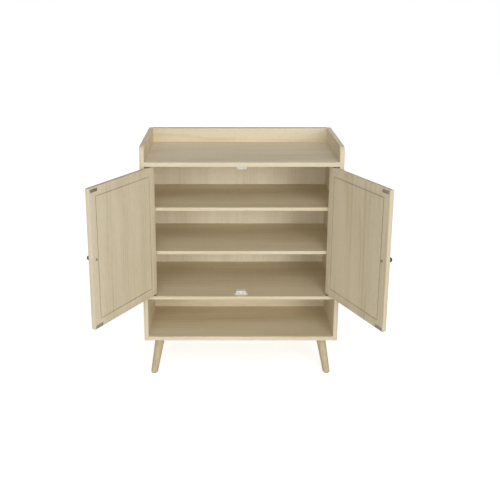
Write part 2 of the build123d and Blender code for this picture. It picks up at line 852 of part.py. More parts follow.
def carcass_nodes():
    """All the pieces of the cabinet that stand still."""
    nodes = {f"side_panel_{name}": [make_side(side)] for name, side in SIDES.items()}
    nodes["top_board"] = [make_top_board()]
    nodes["bottom_board"] = [make_bottom_board()]
    nodes["fixed_shelf"] = [make_fixed_shelf()]
    nodes["shelf_lower"] = [make_shelf(lower_shelf_top)]
    nodes["shelf_upper"] = [make_shelf(upper_shelf_top)]
    nodes["back_rail"] = [make_back_rail()]
    nodes["lower_back_panel"] = [make_lower_back()]
    for name, side in SIDES.items():
        nodes[f"back_panel_{name}"] = [make_back_panel(side)]
    nodes["back_joint_strip"] = [make_joint_strip()]
    nodes["back_panel_nails"] = make_nails()
    nodes["cam_locks"] = make_cams()
    nodes["cam_bolts"] = make_cam_bolts()
    nodes["dowels"] = make_dowels()
    nodes["rail_screws"] = [screw(*RAIL_SCREW, point, (0, -1, 0)) for point in rail_screw_points()]
    nodes["lower_back_screws"] = [screw(*RAIL_SCREW, point, (0, 0, 1)) for point in low_back_screw_points()]
    nodes["shelf_pins"] = make_shelf_pins()
    return nodes


def leg_nodes():
    """Legs with their plates, bolts, screws and glides."""
    nodes = {}
    plate_screws = []
    for place, leg in leg_places().items():
        nodes[f"leg_{place}"] = [make_leg(leg)]
        nodes[f"leg_plate_{place}"] = [make_leg_plate(leg)]
        plate_screws += [screw(*LEG_SCREW, point, (0, 0, 1)) for point in leg_screw_points(leg)]
    nodes["leg_plate_screws"] = plate_screws
    nodes["leg_bolts"] = make_leg_bolts()
    nodes["foot_glides"] = make_glides()
    return nodes


def fitting_nodes():
    """Catches and the cabinet halves of the hinges."""
    nodes = {}
    magnets, poles = [], []
    for place, upper in (("top", True), ("bottom", False)):
        housing, catch_magnets, catch_poles = catch_pieces(upper)
        nodes[f"catch_housing_{place}"] = [housing]
        magnets += catch_magnets
        poles += catch_poles
    nodes["catch_magnets"] = magnets
    nodes["catch_pole_plates"] = poles
    nodes["catch_screws"] = make_catch_screws()
    for name in SIDES:
        for where in hinge_levels():
            nodes[f"hinge_plate_{where}_{name}"] = [make_hinge_plate(name, where)]
    nodes["hinge_pins"] = make_hinge_pins()
    nodes["hinge_washers"] = make_washers()
    nodes["hinge_plate_screws"] = make_hinge_plate_screws()
    return nodes


def solids_of(shapes):
    """The separate solids of a list of shapes."""
    found = []
    for shape in shapes:
        found += shape.solids()
    return found


os.makedirs("parts", exist_ok=True)
all_nodes = {**carcass_nodes(), **leg_nodes(), **fitting_nodes(), **door_nodes("left"), **door_nodes("right")}
to_origin = Pos(-rest_middle_x, -rest_middle_y, 0)
everything = []
for node, shapes in all_nodes.items():
    pieces = [to_origin * solid for solid in solids_of(shapes)]
    everything += pieces
    export_step(pieces[0] if len(pieces) == 1 else Compound(children=pieces), f"parts/{node}.step")
outline = Compound(children=everything).bounding_box()
print(len(all_nodes), "nodes,", len(everything), "solids")
print("low", [round(value, 2) for value in outline.min], "high", [round(value, 2) for value in outline.max])
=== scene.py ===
"""The looks of a light oak shoe cabinet with two doors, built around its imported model.

Lengths are metres unless a name ends in _mm, X runs across the cabinet, Y runs back and Z runs up.
"""

import json
import logging
import math
from collections.abc import Callable, Iterator
from contextlib import contextmanager
from dataclasses import dataclass
from enum import Enum

import bmesh
import bpy
from mathutils import Matrix, Vector


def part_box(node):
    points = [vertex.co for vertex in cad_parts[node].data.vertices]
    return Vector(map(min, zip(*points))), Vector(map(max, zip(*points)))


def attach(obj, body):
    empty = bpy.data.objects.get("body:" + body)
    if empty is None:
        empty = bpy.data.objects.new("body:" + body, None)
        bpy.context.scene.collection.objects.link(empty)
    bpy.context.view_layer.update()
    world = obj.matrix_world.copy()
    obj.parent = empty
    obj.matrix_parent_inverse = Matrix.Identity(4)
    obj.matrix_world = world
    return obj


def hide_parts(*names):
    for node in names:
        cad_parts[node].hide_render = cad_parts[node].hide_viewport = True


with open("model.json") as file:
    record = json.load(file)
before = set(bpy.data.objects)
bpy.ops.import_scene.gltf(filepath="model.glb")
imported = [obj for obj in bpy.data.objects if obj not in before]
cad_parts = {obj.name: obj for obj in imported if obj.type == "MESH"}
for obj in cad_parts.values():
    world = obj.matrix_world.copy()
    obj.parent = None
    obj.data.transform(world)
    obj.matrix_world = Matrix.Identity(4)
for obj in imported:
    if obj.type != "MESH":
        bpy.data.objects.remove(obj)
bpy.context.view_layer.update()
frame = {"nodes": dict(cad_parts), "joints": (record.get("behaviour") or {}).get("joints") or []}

log = logging.getLogger("shoe_cabinet")

MM = 0.001
SIDES = ("left", "right")
ENDS = ("top", "bottom")

QUARTER = math.pi / 2
UP, DOWN = Vector((0, 0, 1)), Vector((0, 0, -1))
BACKWARDS, FORWARDS = Vector((0, 1, 0)), Vector((0, -1, 0))
# how well a face or an edge agrees with a direction: roughly, and so well that no rounded edge does
FACING, FLAT = 0.9, 0.999
# corners this close are one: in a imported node, and in a made piece
SAME_POINT, MERGE = 0.001 * MM, 0.004 * MM
SLACK = 0.1 * MM
# edges sharper than the first are rounded, and faces that meet at less than the second look smooth
SOFT_FROM, SMOOTH_BELOW = math.radians(35), math.radians(32)


def linear(hex_colour: str) -> tuple[float, float, float, float]:
    """Turns an sRGB hex colour into linear light.

    Args:
        hex_colour: six hex digits, such as "C8B48C".

    Returns:
        Red, green and blue from 0 to 1, and an alpha of 1.
    """
    levels = [int(hex_colour[i : i + 2], 16) / 255 for i in (0, 2, 4)]
    lights = [v / 12.92 if v <= 0.04045 else ((v + 0.055) / 1.055) ** 2.4 for v in levels]
    return (*lights, 1.0)


def add(tree: bpy.types.NodeTree, kind: str, inputs: dict | None = None,
        **settings: object) -> bpy.types.Node:
    """Adds a shader node with its settings and links.

    Sockets that share a name are given by number. On Map Range, 0 is the value, 1 and 2 are the range that it
    is read from and 3 and 4 the range that it is turned to. On Mix, 0 is the factor, 6 and 7 are the colours
    and output 2 is the result.

    Args:
        tree: the node tree it goes in.
        kind: the node's type without "ShaderNode".
        inputs: a value, or the output socket of another node, for each input by name or number.
        **settings: the node's own properties.

    Returns:
        The new node.
    """
    node = tree.nodes.new("ShaderNode" + kind)
    for name, value in settings.items():
        setattr(node, name, value)
    for socket, value in (inputs or {}).items():
        if isinstance(value, bpy.types.NodeSocket):
            tree.links.new(value, node.inputs[socket])
        else:
            node.inputs[socket].default_value = value
    return node


# ---------------------------------------------------------------- finishes


@dataclass(frozen=True)
class Finish:
    """A finish that can be laid on any piece."""

    name: str
    colour: str

    def material(self) -> bpy.types.Material:
        """Returns the finish's material, which is made the first time."""
        return bpy.data.materials.get(self.name) or self.made()

    def made(self) -> bpy.types.Material:
        """Makes the material.

        Returns:
            The new material, with its nodes laid.
        """
        material = bpy.data.materials.new(self.name)
        material.use_nodes = True
        material.diffuse_color = linear(self.colour)
        tree = material.node_tree
        self.lay(tree, tree.nodes["Principled BSDF"])
        return material

    def lay(self, tree: bpy.types.NodeTree, shader: bpy.types.Node) -> None:
        """Adds the finish's own nodes; each kind of finish has its own.

        Args:
            tree: the material's node tree.
            shader: its Principled BSDF.
        """
        raise NotImplementedError


class Grain(Enum):
    """Which way the grain of a wooden piece runs. The value turns the grain onto the pattern's X axis."""

    ACROSS = (0.0, 0.0, 0.0)
    UPRIGHT = (0.0, QUARTER, 0.0)


@dataclass(frozen=True)
class OakFoil(Finish):
    """Printed oak foil under melamine resin, pressed on chipboard with a fine embossed pore.

    It reads as pale sanded oak: faint growth bands and flames, short darker pores, a dull satin shine.
    """

    grain: Grain = Grain.ACROSS
    dark: str = "CCBB98"
    pore: str = "B09D79"
    knot: str = "6E4E30"
    heart_mm: tuple[float, float, float] = (0.0, -240.0, 560.0)
    band_mm: float = 10.0
    late_wood: tuple[float, float] = (0.25, 0.9)
    wander_mm: tuple[float, float] = (1200.0, 90.0)
    sway_mm: float = 48.0
    flame: float = 0.42
    flame_where: tuple[float, float] = (0.42, 0.62)
    tone_mm: tuple[float, float] = (520.0, 60.0)
    tone_where: tuple[float, float] = (0.3, 0.7)
    tone_depth: tuple[float, float] = (0.05, 0.35)
    pore_mm: tuple[float, float] = (22.0, 1.2)
    pore_where: tuple[float, float] = (0.54, 0.76)
    pore_depth: float = 0.45
    pore_dull: tuple[float, float] = (0.6, 0.12)
    emboss: tuple[float, float] = (0.25, 0.05 * MM)
    knot_every_mm: float = 240.0
    knot_mm: float = 1.9
    knot_long: float = 0.6
    knot_rim: float = 2.2
    knot_depth: float = 0.6
    roughness: float = 0.5
    ior: float = 1.5
    shine: float = 0.3

    def lay(self, tree: bpy.types.NodeTree, shader: bpy.types.Node) -> None:
        """Lays slow tone, growth bands, pores and pin knots over each other.

        Args:
            tree: the material's node tree.
            shader: its Principled BSDF.
        """
        place = add(tree, "TexCoord").outputs["Object"]
        turned = add(tree, "Mapping", {"Vector": place, "Rotation": self.grain.value}).outputs[0]
        tone = self.streaks(tree, turned, self.tone_mm, 2.0)
        bands = self.bands(tree, turned)
        # real pores are 0.3 mm wide; they are drawn wider so that they show from two metres
        fine = self.streaks(tree, turned, self.pore_mm, 3.0)
        low, high = self.pore_where
        pores = add(tree, "MapRange", {0: fine, 1: low, 2: high, 3: 0.0, 4: self.pore_depth}).outputs[0]
        low, high = self.tone_where
        light, deep = self.tone_depth
        clouds = add(tree, "MapRange", {0: tone, 1: low, 2: high, 3: light, 4: deep}).outputs[0]
        # the bands fade in and out, as they do where a log was cut at a changing angle
        low, high = self.flame_where
        fade = add(tree, "MapRange", {0: tone, 1: low, 2: high, 3: 0.0, 4: self.flame}).outputs[0]
        shade = add(tree, "Math", {0: bands, 1: fade, 2: clouds}, operation="MULTIPLY_ADD").outputs[0]
        body = add(tree, "Mix", {0: shade, 6: linear(self.colour), 7: linear(self.dark)}, data_type="RGBA")
        pored = add(tree, "Mix", {0: pores, 6: body.outputs[2], 7: linear(self.pore)}, data_type="RGBA")
        knotted = self.knots(tree, turned, pored.outputs[2])
        tree.links.new(knotted, shader.inputs["Base Color"])
        full, duller = self.pore_dull
        rough = self.roughness
        gloss = add(tree, "MapRange", {0: pores, 1: 0.0, 2: full, 3: rough, 4: rough + duller})
        tree.links.new(gloss.outputs[0], shader.inputs["Roughness"])
        strength, depth = self.emboss
        relief = add(tree, "Bump", {"Strength": strength, "Distance": depth, "Height": pores}, invert=True)
        tree.links.new(relief.outputs[0], shader.inputs["Normal"])
        shader.inputs["IOR"].default_value = self.ior
        shader.inputs["Specular IOR Level"].default_value = self.shine

    def streaks(self, tree: bpy.types.NodeTree, place: bpy.types.NodeSocket, size_mm: tuple[float, float],
                detail: float) -> bpy.types.NodeSocket:
        """Adds noise drawn out along the grain.

        Args:
            tree: the material's node tree.
            place: the place, with the grain along X.
            size_mm: a streak's length and width.
            detail: how many finer layers the noise has.

        Returns:
            The noise's value, from 0 to 1.
        """
        along, wide = (1 / (size * MM) for size in size_mm)
        drawn = add(tree, "VectorMath", {0: place, 1: (along, wide, wide)}, operation="MULTIPLY").outputs[0]
        return add(tree, "TexNoise", {"Vector": drawn, "Scale": 1.0, "Detail": detail}).outputs[0]

    def bands(self, tree: bpy.types.NodeTree, place: bpy.types.NodeSocket) -> bpy.types.NodeSocket:
        """Adds growth bands: rings round the heart of the tree, bent so that a flat cut shows flames.

        Args:
            tree: the material's node tree.
            place: the place, with the grain along X.

        Returns:
            The bands' value, 1 at the late wood.
        """
        along, wide = (1 / (size * MM) for size in self.wander_mm)
        slow = (along, wide, wide)
        drawn = add(tree, "VectorMath", {0: place, 1: slow}, operation="MULTIPLY").outputs[0]
        wander = add(tree, "TexNoise", {"Vector": drawn, "Scale": 1.0, "Detail": 2.0}).outputs[1]
        sway = (0.0, self.sway_mm * MM, self.sway_mm * MM)
        bent = add(tree, "VectorMath", {0: wander, 1: sway, 2: place}, operation="MULTIPLY_ADD").outputs[0]
        heart = tuple(-v * MM for v in self.heart_mm)
        off = add(tree, "VectorMath", {0: bent, 1: heart}, operation="ADD").outputs[0]
        flat = add(tree, "VectorMath", {0: off, 1: (0.0, 1.0, 1.0)}, operation="MULTIPLY").outputs[0]
        radius = add(tree, "VectorMath", {0: flat}, operation="LENGTH").outputs["Value"]
        turns = add(tree, "Math", {0: radius, 1: 1 / (self.band_mm * MM)}, operation="MULTIPLY").outputs[0]
        year = add(tree, "Math", {0: turns}, operation="FRACT").outputs[0]
        begin, full = self.late_wood
        rise = {0: year, 1: begin, 2: full, 3: 0.0, 4: 1.0}
        late = add(tree, "MapRange", rise, interpolation_type="SMOOTHSTEP").outputs[0]
        end = add(tree, "MapRange", {0: year, 1: full, 2: 1.0, 3: 1.0, 4: 0.0}).outputs[0]
        return add(tree, "Math", {0: late, 1: end}, operation="MULTIPLY").outputs[0]

    def knots(self, tree: bpy.types.NodeTree, place: bpy.types.NodeSocket,
              under: bpy.types.NodeSocket) -> bpy.types.NodeSocket:
        """Adds a few small brown pin knots, longer than wide.

        Args:
            tree: the material's node tree.
            place: the place, with the grain along X.
            under: the colour they lie on.

        Returns:
            The colour with knots.
        """
        cell = 1 / (self.knot_every_mm * MM)
        size = (cell * self.knot_long, cell, cell)
        drawn = add(tree, "VectorMath", {0: place, 1: size}, operation="MULTIPLY").outputs[0]
        spot = add(tree, "TexVoronoi", {"Vector": drawn, "Scale": 1.0}).outputs["Distance"]
        edge = self.knot_mm / self.knot_every_mm
        rim = edge * self.knot_rim
        eye = add(tree, "MapRange", {0: spot, 1: edge, 2: rim, 3: self.knot_depth, 4: 0.0}).outputs[0]
        return add(tree, "Mix", {0: eye, 6: under, 7: linear(self.knot)}, data_type="RGBA").outputs[2]


@dataclass(frozen=True)
class DarkTopped(OakFoil):
    """The same foil on a board whose top edge is coloured dark brown."""

    dark_top: str = "7A6246"
    dark_above: float = 0.0
    speckle_mm: float = 2.0
    speckle_tint: float = 0.18

    def lay(self, tree: bpy.types.NodeTree, shader: bpy.types.Node) -> None:
        """Lays the foil, then a speckled dark brown above a height.

        Args:
            tree: the material's node tree.
            shader: its Principled BSDF.
        """
        super().lay(tree, shader)
        foil = shader.inputs["Base Color"].links[0].from_socket
        place = add(tree, "TexCoord").outputs["Object"]
        height = add(tree, "SeparateXYZ", {0: place}).outputs["Z"]
        # from this height up, the top edge is coloured a speckled dark brown
        bare = add(tree, "Math", {0: height, 1: self.dark_above}, operation="GREATER_THAN").outputs[0]
        # the speckles are 1 to 3 mm across
        scale = 1 / (self.speckle_mm * MM)
        speckles = add(tree, "TexVoronoi", {"Vector": place, "Scale": scale}).outputs["Color"]
        mixed = {0: self.speckle_tint, 6: linear(self.dark_top), 7: speckles}
        tint = add(tree, "Mix", mixed, data_type="RGBA", blend_type="SOFT_LIGHT")
        both = add(tree, "Mix", {0: bare, 6: foil, 7: tint.outputs[2]}, data_type="RGBA")
        tree.links.new(both.outputs[2], shader.inputs["Base Color"])


@dataclass(frozen=True)
class Routed(OakFoil):
    """The same foil with routed lines, browner in them for its core and painted shade, and on the top edge.
    """

    core_and_shade: str = "8A6636"

    def lay(self, tree: bpy.types.NodeTree, shader: bpy.types.Node) -> None:
        """Lays the foil, then the brown of core and painted shade where the piece's own "routed" values ask
        for it.

        Args:
            tree: the material's node tree.
            shader: its Principled BSDF.
        """
        super().lay(tree, shader)
        foil = shader.inputs["Base Color"].links[0].from_socket
        # the brown stands for the core and painted shade in the grooves, and is a browner tint on the top
        # edge
        core_and_shade_share = add(tree, "Attribute", attribute_name="routed").outputs["Fac"]
        both = add(tree, "Mix", {0: core_and_shade_share, 6: foil, 7: linear(self.core_and_shade)}, data_type="RGBA")
        tree.links.new(both.outputs[2], shader.inputs["Base Color"])


@dataclass(frozen=True)
class PrintedHardboard(OakFoil):
    """Thin hardboard, printed as oak in front and left bare behind, where it is brown and slightly furry."""

    bare: str = "B08E68"
    bare_behind: float = 0.0
    fibre_mm: float = 1.6
    fibre_where: tuple[float, float] = (0.3, 0.7)
    fibre_tint: tuple[float, float] = (0.82, 1.12)

    def lay(self, tree: bpy.types.NodeTree, shader: bpy.types.Node) -> None:
        """Lays the print, then bare fibre behind the middle of the sheet.

        Args:
            tree: the material's node tree.
            shader: its Principled BSDF.
        """
        super().lay(tree, shader)
        foil = shader.inputs["Base Color"].links[0].from_socket
        place = add(tree, "TexCoord").outputs["Object"]
        depth = add(tree, "SeparateXYZ", {0: place}).outputs["Y"]
        behind = add(tree, "Math", {0: depth, 1: self.bare_behind}, operation="GREATER_THAN").outputs[0]
        scale = 1 / (self.fibre_mm * MM)
        furry = {"Vector": place, "Scale": scale, "Detail": 6.0, "Roughness": 0.7}
        fibre = add(tree, "TexNoise", furry).outputs[0]
        low, high = self.fibre_where
        darker, lighter = self.fibre_tint
        tint = add(tree, "MapRange", {0: fibre, 1: low, 2: high, 3: darker, 4: lighter}).outputs[0]
        brown = {0: linear(self.bare)[:3], "Scale": tint}
        board = add(tree, "VectorMath", brown, operation="SCALE").outputs[0]
        both = add(tree, "Mix", {0: behind, 6: foil, 7: board}, data_type="RGBA").outputs[2]
        tree.links.new(both, shader.inputs["Base Color"])


@dataclass(frozen=True)
class TurnedWood(Finish):
    """Solid light wood, turned or milled: fine straight grain that runs up it, under a thin satin coat.

    The real lines are under a millimetre apart; they are drawn coarser so that they show.
    """

    dark: str = "A48C64"
    line_mm: tuple[float, float] = (70.0, 2.2)
    line_where: tuple[float, float] = (0.35, 0.72)
    line_depth: float = 0.8
    line_relief: tuple[float, float] = (0.15, 0.05 * MM)
    roughness: float = 0.36
    ior: float = 1.5
    coat: tuple[float, float] = (0.25, 0.25)

    def lay(self, tree: bpy.types.NodeTree, shader: bpy.types.Node) -> None:
        """Lays grain lines and a clear coat.

        Args:
            tree: the material's node tree.
            shader: its Principled BSDF.
        """
        place = add(tree, "TexCoord").outputs["Object"]
        along, wide = (1 / (size * MM) for size in self.line_mm)
        drawn = add(tree, "VectorMath", {0: place, 1: (wide, wide, along)}, operation="MULTIPLY").outputs[0]
        lines = add(tree, "TexNoise", {"Vector": drawn, "Scale": 1.0, "Detail": 4.0}).outputs[0]
        low, high = self.line_where
        shade = add(tree, "MapRange", {0: lines, 1: low, 2: high, 3: 0.0, 4: self.line_depth}).outputs[0]
        body = add(tree, "Mix", {0: shade, 6: linear(self.colour), 7: linear(self.dark)}, data_type="RGBA")
        tree.links.new(body.outputs[2], shader.inputs["Base Color"])
        strength, depth = self.line_relief
        relief = add(tree, "Bump", {"Strength": strength, "Distance": depth, "Height": lines}).outputs[0]
        tree.links.new(relief, shader.inputs["Normal"])
        shader.inputs["Roughness"].default_value = self.roughness
        shader.inputs["IOR"].default_value = self.ior
        shader.inputs["Coat Weight"].default_value, shader.inputs["Coat Roughness"].default_value = self.coat


@dataclass(frozen=True)
class Moulded(Finish):
    """Moulded plastic, pressed ferrite or baked powder coat: one even colour under a fine, dull skin.

    The real skin's grit is 0.1 to 0.2 mm; it is drawn coarser so that it breaks the highlight.
    """

    roughness: float = 0.42
    ior: float = 1.5
    cloud_mm: float = 9.0
    cloud_where: tuple[float, float] = (0.3, 0.7)
    uneven: float = 0.06
    grit_mm: float = 0.5
    etch: tuple[float, float] = (0.2, 0.03 * MM)
    rough_spread: float = 0.05
    scatter: float = 0.0
    scatter_depth: float = 1.5 * MM

    def lay(self, tree: bpy.types.NodeTree, shader: bpy.types.Node) -> None:
        """Lays an even colour with a faint cloudiness, and the etched skin.

        Args:
            tree: the material's node tree.
            shader: its Principled BSDF.
        """
        place = add(tree, "TexCoord").outputs["Object"]
        scale = 1 / (self.cloud_mm * MM)
        cloud = add(tree, "TexNoise", {"Vector": place, "Scale": scale, "Detail": 2.0}).outputs[0]
        low, high = self.cloud_where
        tint = add(tree, "MapRange", {0: cloud, 1: low, 2: high, 3: 1 - self.uneven, 4: 1.0}).outputs[0]
        even = {0: linear(self.colour)[:3], "Scale": tint}
        body = add(tree, "VectorMath", even, operation="SCALE").outputs[0]
        tree.links.new(body, shader.inputs["Base Color"])
        scale = 1 / (self.grit_mm * MM)
        grit = add(tree, "TexNoise", {"Vector": place, "Scale": scale, "Detail": 1.0}).outputs[0]
        strength, depth = self.etch
        relief = add(tree, "Bump", {"Strength": strength, "Distance": depth, "Height": grit}).outputs[0]
        tree.links.new(relief, shader.inputs["Normal"])
        least, most = self.roughness - self.rough_spread, self.roughness + self.rough_spread
        rough = add(tree, "MapRange", {0: grit, 3: least, 4: most}).outputs[0]
        tree.links.new(rough, shader.inputs["Roughness"])
        shader.inputs["IOR"].default_value = self.ior
        shader.inputs["Subsurface Weight"].default_value = self.scatter
        shader.inputs["Subsurface Scale"].default_value = self.scatter_depth


@dataclass(frozen=True)
class Metal(Finish):
    """A plated, pressed or cast metal. Its plating is a little uneven, which breaks up the reflections.

    The real pits are 0.1 to 0.3 mm wide; they are drawn coarser so that they show.
    """

    roughness: float = 0.3
    metallic: float = 1.0
    tarnish: str = "6F6A62"
    tarnished: float = 0.25
    tarnish_where: tuple[float, float] = (0.42, 0.75)
    patch_mm: float = 6.0
    dull_where: tuple[float, float] = (0.3, 0.8)
    duller: float = 0.16
    grit_mm: float = 0.6
    skin: float = 0.3
    depth_mm: float = 0.02

    def lay(self, tree: bpy.types.NodeTree, shader: bpy.types.Node) -> None:
        """Lays the plating, its duller patches and its skin.

        Args:
            tree: the material's node tree.
            shader: its Principled BSDF.
        """
        place = add(tree, "TexCoord").outputs["Object"]
        scale = 1 / (self.patch_mm * MM)
        patch = add(tree, "TexNoise", {"Vector": place, "Scale": scale, "Detail": 4.0}).outputs[0]
        low, high = self.tarnish_where
        dull = add(tree, "MapRange", {0: patch, 1: low, 2: high, 3: 0.0, 4: self.tarnished}).outputs[0]
        body = add(tree, "Mix", {0: dull, 6: linear(self.colour), 7: linear(self.tarnish)}, data_type="RGBA")
        tree.links.new(body.outputs[2], shader.inputs["Base Color"])
        low, high = self.dull_where
        least, most = self.roughness, self.roughness + self.duller
        rough = add(tree, "MapRange", {0: patch, 1: low, 2: high, 3: least, 4: most}).outputs[0]
        tree.links.new(rough, shader.inputs["Roughness"])
        scale = 1 / (self.grit_mm * MM)
        grit = add(tree, "TexNoise", {"Vector": place, "Scale": scale, "Detail": 2.0}).outputs[0]
        pits = {"Strength": self.skin, "Distance": self.depth_mm * MM, "Height": grit}
        relief = add(tree, "Bump", pits).outputs[0]
        tree.links.new(relief, shader.inputs["Normal"])
        shader.inputs["Metallic"].default_value = self.metallic


RAIL_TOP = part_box("back_rail")[1].z
DARK_TOP_DEPTH = 0.35 * MM
BACK_MIDDLE = sum(corner.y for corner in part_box("back_panel_left")) / 2
OAK = "E6DABF"

# pale, nearly white oak, dull, with the grain along the board or up it
OAK_ACROSS = OakFoil("oak_foil_on_chipboard_across", OAK)
OAK_UPRIGHT = OakFoil("oak_foil_on_chipboard_upright", OAK, grain=Grain.UPRIGHT)
# the same, with thin brown lines round the field of a door: its core, and painted shade in the groove
OAK_DOOR = Routed("oak_foil_on_routed_board", OAK, grain=Grain.UPRIGHT)
# the same, with a thin dark line along the top
OAK_DARK_TOP = DarkTopped("oak_foil_with_dark_top_edge", OAK, dark_above=RAIL_TOP - DARK_TOP_DEPTH)
# a paler print with hardly any flame in front, plain brown behind
OAK_PRINT = PrintedHardboard("oak_print_on_hardboard", "F0E6D0", grain=Grain.UPRIGHT, flame=0.16,
                             bare_behind=BACK_MIDDLE)
# warmer than the boards, with a soft shine and lines that run up the leg
LEG_WOOD = TurnedWood("rubberwood_turned_and_lacquered", "D3C3A2")
# dry, pinkish and without shine
BEECH = TurnedWood("beech_dowel_fluted_dry", "D9B98C", dark="C29B69", roughness=0.7)
# a smooth cream line, a little lighter than the print beside it
STRIP = Moulded("polypropylene_strip_extruded_cream", "EBE2CE", roughness=0.38)
# clean white with a waxy depth
WHITE = Moulded("polypropylene_moulded_white", "EFEFEC", roughness=0.35, scatter=0.1)
# milky and slightly yellow
NYLON = Moulded("nylon_moulded_natural", "E6E2D6", roughness=0.4, ior=1.53, scatter=0.15)
# flat black
GLIDE = Moulded("polyethylene_glide_moulded_black", "1E1E1F", roughness=0.5)
# dull charcoal, like fired clay
FERRITE = Moulded("ferrite_magnet_pressed_and_fired", "2D2B2B", roughness=0.7, ior=2.0, grit_mm=0.3)
# blue-black with a soft highlight and a faint orange-peel skin
POWDER = Moulded("steel_powder_coated_blue_black", "262C35", roughness=0.34, grit_mm=0.7, uneven=0.2)
# bright, warm grey reflections
NICKEL = Metal("steel_nickel_plated_bright", "C9C5BD", roughness=0.24)
# cool grey reflections, patchy
ZINC_STEEL = Metal("steel_zinc_plated_passivated", "BDBDB9", roughness=0.34, tarnish="8B8A7C")
# light grey that hardly reflects, with darker patches
STRIKE = Metal("steel_strike_pressed_dull_nickel", "C4C1BC", roughness=0.42, tarnish="77756F", tarnished=0.5)
# rough grey with shallow pits
CAST_ZINC = Metal("zinc_die_cast_tumbled", "A9A9A6", roughness=0.46, tarnish="777673", grit_mm=1.0,
                  depth_mm=0.06)


def dress(node: str, finish: Finish) -> None:
    """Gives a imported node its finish.

    Args:
        node: the node's name.
        finish: the finish it gets.
    """
    slots = frame["nodes"][node].data.materials
    slots.clear()
    slots.append(finish.material())
    log.info("%s is finished in %s", node, finish.name)


# ---------------------------------------------------------------- bench

Test = Callable[[Vector, Vector], bool]
Box = tuple[Vector, Vector]


def take_up(piece: bpy.types.Object) -> None:
    """Selects one piece alone and makes it the active one.

    Args:
        piece: the piece.
    """
    bpy.ops.object.select_all(action="DESELECT")
    piece.select_set(True)
    bpy.context.view_layer.objects.active = piece


def fix_place(piece: bpy.types.Object) -> bpy.types.Object:
    """Moves a piece's place, turn and size into its mesh.

    Args:
        piece: the piece.

    Returns:
        The same piece, at the origin.
    """
    take_up(piece)
    bpy.ops.object.transform_apply(location=True, rotation=True, scale=True)
    return piece


@contextmanager
def editing(piece: bpy.types.Object, mode: str = "FACE") -> Iterator[None]:
    """Opens one piece in edit mode with nothing selected, and closes it afterwards.

    Args:
        piece: the piece to work on.
        mode: what is selected, "FACE" or "EDGE".

    Yields:
        Nothing, while the piece is open.
    """
    take_up(piece)
    bpy.ops.object.mode_set(mode="EDIT")
    bpy.ops.mesh.select_mode(type=mode)
    bpy.ops.mesh.select_all(action="DESELECT")
    yield
    bpy.ops.object.mode_set(mode="OBJECT")


def pick_faces(piece: bpy.types.Object, test: Test) -> None:
    """Selects faces of the piece in edit mode, and no others.

    Args:
        piece: the piece in edit mode.
        test: says yes to a face by its middle and its normal.
    """
    mesh = bmesh.from_edit_mesh(piece.data)
    for face in mesh.faces:
        face.select_set(test(face.calc_center_median(), face.normal))
    bmesh.update_edit_mesh(piece.data)


def pick_edges(piece: bpy.types.Object, test: Test) -> None:
    """Selects edges of the piece in edit mode, and no others.

    Args:
        piece: the piece in edit mode.
        test: says yes to an edge by its middle and its direction.
    """
    mesh = bmesh.from_edit_mesh(piece.data)
    for edge in mesh.edges:
        first, second = (corner.co for corner in edge.verts)
        edge.select_set(test((first + second) / 2, (second - first).normalized()))
    bmesh.update_edit_mesh(piece.data)


def block(low: Vector, high: Vector) -> bpy.types.Object:
    """Adds a box between two corners, with its place in its mesh.

    Args:
        low: the lowest corner.
        high: the highest corner.

    Returns:
        The box.
    """
    bpy.ops.mesh.primitive_cube_add(size=1, location=(low + high) / 2)
    piece = bpy.context.object
    piece.scale = high - low
    return fix_place(piece)


def rod(radius: float, low: Vector, length: float, sides: int = 40) -> bpy.types.Object:
    """Adds an upright round bar that stands on a point.

    Args:
        radius: its radius.
        low: the middle of its lower end.
        length: its length.
        sides: how many faces go round it.

    Returns:
        The bar.
    """
    waist = low + length / 2 * UP
    bpy.ops.mesh.primitive_cylinder_add(vertices=sides, radius=radius, depth=length, location=waist)
    return fix_place(bpy.context.object)


def finish_with(piece: bpy.types.Object, kind: str, **settings: object) -> None:
    """Adds a modifier to a piece and applies it.

    Args:
        piece: the piece.
        kind: the modifier's type.
        **settings: the modifier's own properties.
    """
    take_up(piece)
    modifier = piece.modifiers.new(kind.lower(), kind)
    for name, value in settings.items():
        setattr(modifier, name, value)
    bpy.ops.object.modifier_apply(modifier=modifier.name)


def cut(piece: bpy.types.Object, cutter: bpy.types.Object) -> None:
    """Cuts one closed shape out of another, and uses the cutter up.

    Args:
        piece: what stays.
        cutter: the shape that is taken out of it.
    """
    finish_with(piece, "BOOLEAN", object=cutter, operation="DIFFERENCE", solver="EXACT")
    bpy.data.objects.remove(cutter)


def soften(piece: bpy.types.Object, width: float, segments: int = 3) -> None:
    """Rounds every sharp edge of a piece.

    Args:
        piece: the piece.
        width: how far the rounding reaches from the edge.
        segments: how many faces go round it.
    """
    finish_with(piece, "BEVEL", width=width, segments=segments, limit_method="ANGLE", angle_limit=SOFT_FROM)


def copy_at(piece: bpy.types.Object, place: Matrix) -> bpy.types.Object:
    """Copies a piece, with a mesh of its own, and puts the copy in its place.

    Args:
        piece: the master.
        place: where the copy goes.

    Returns:
        The copy, with its place in its mesh.
    """
    copy = piece.copy()
    copy.data = piece.data.copy()
    bpy.context.scene.collection.objects.link(copy)
    copy.matrix_world = place @ copy.matrix_world
    return fix_place(copy)


def move_to(piece: bpy.types.Object, place: Matrix) -> bpy.types.Object:
    """Moves a piece to its place, with the place in its mesh.

    Args:
        piece: the piece, which is used up.
        place: where it goes.

    Returns:
        The piece in its place.
    """
    copy = copy_at(piece, place)
    bpy.data.objects.remove(piece)
    return copy


def join(pieces: list[bpy.types.Object]) -> bpy.types.Object:
    """Joins pieces into one object of separate shells.

    Args:
        pieces: the pieces.

    Returns:
        The joined object.
    """
    if len(pieces) == 1:
        return pieces[0]
    bpy.ops.object.select_all(action="DESELECT")
    for piece in pieces:
        piece.select_set(True)
    bpy.context.view_layer.objects.active = pieces[0]
    bpy.ops.object.join()
    return bpy.context.object


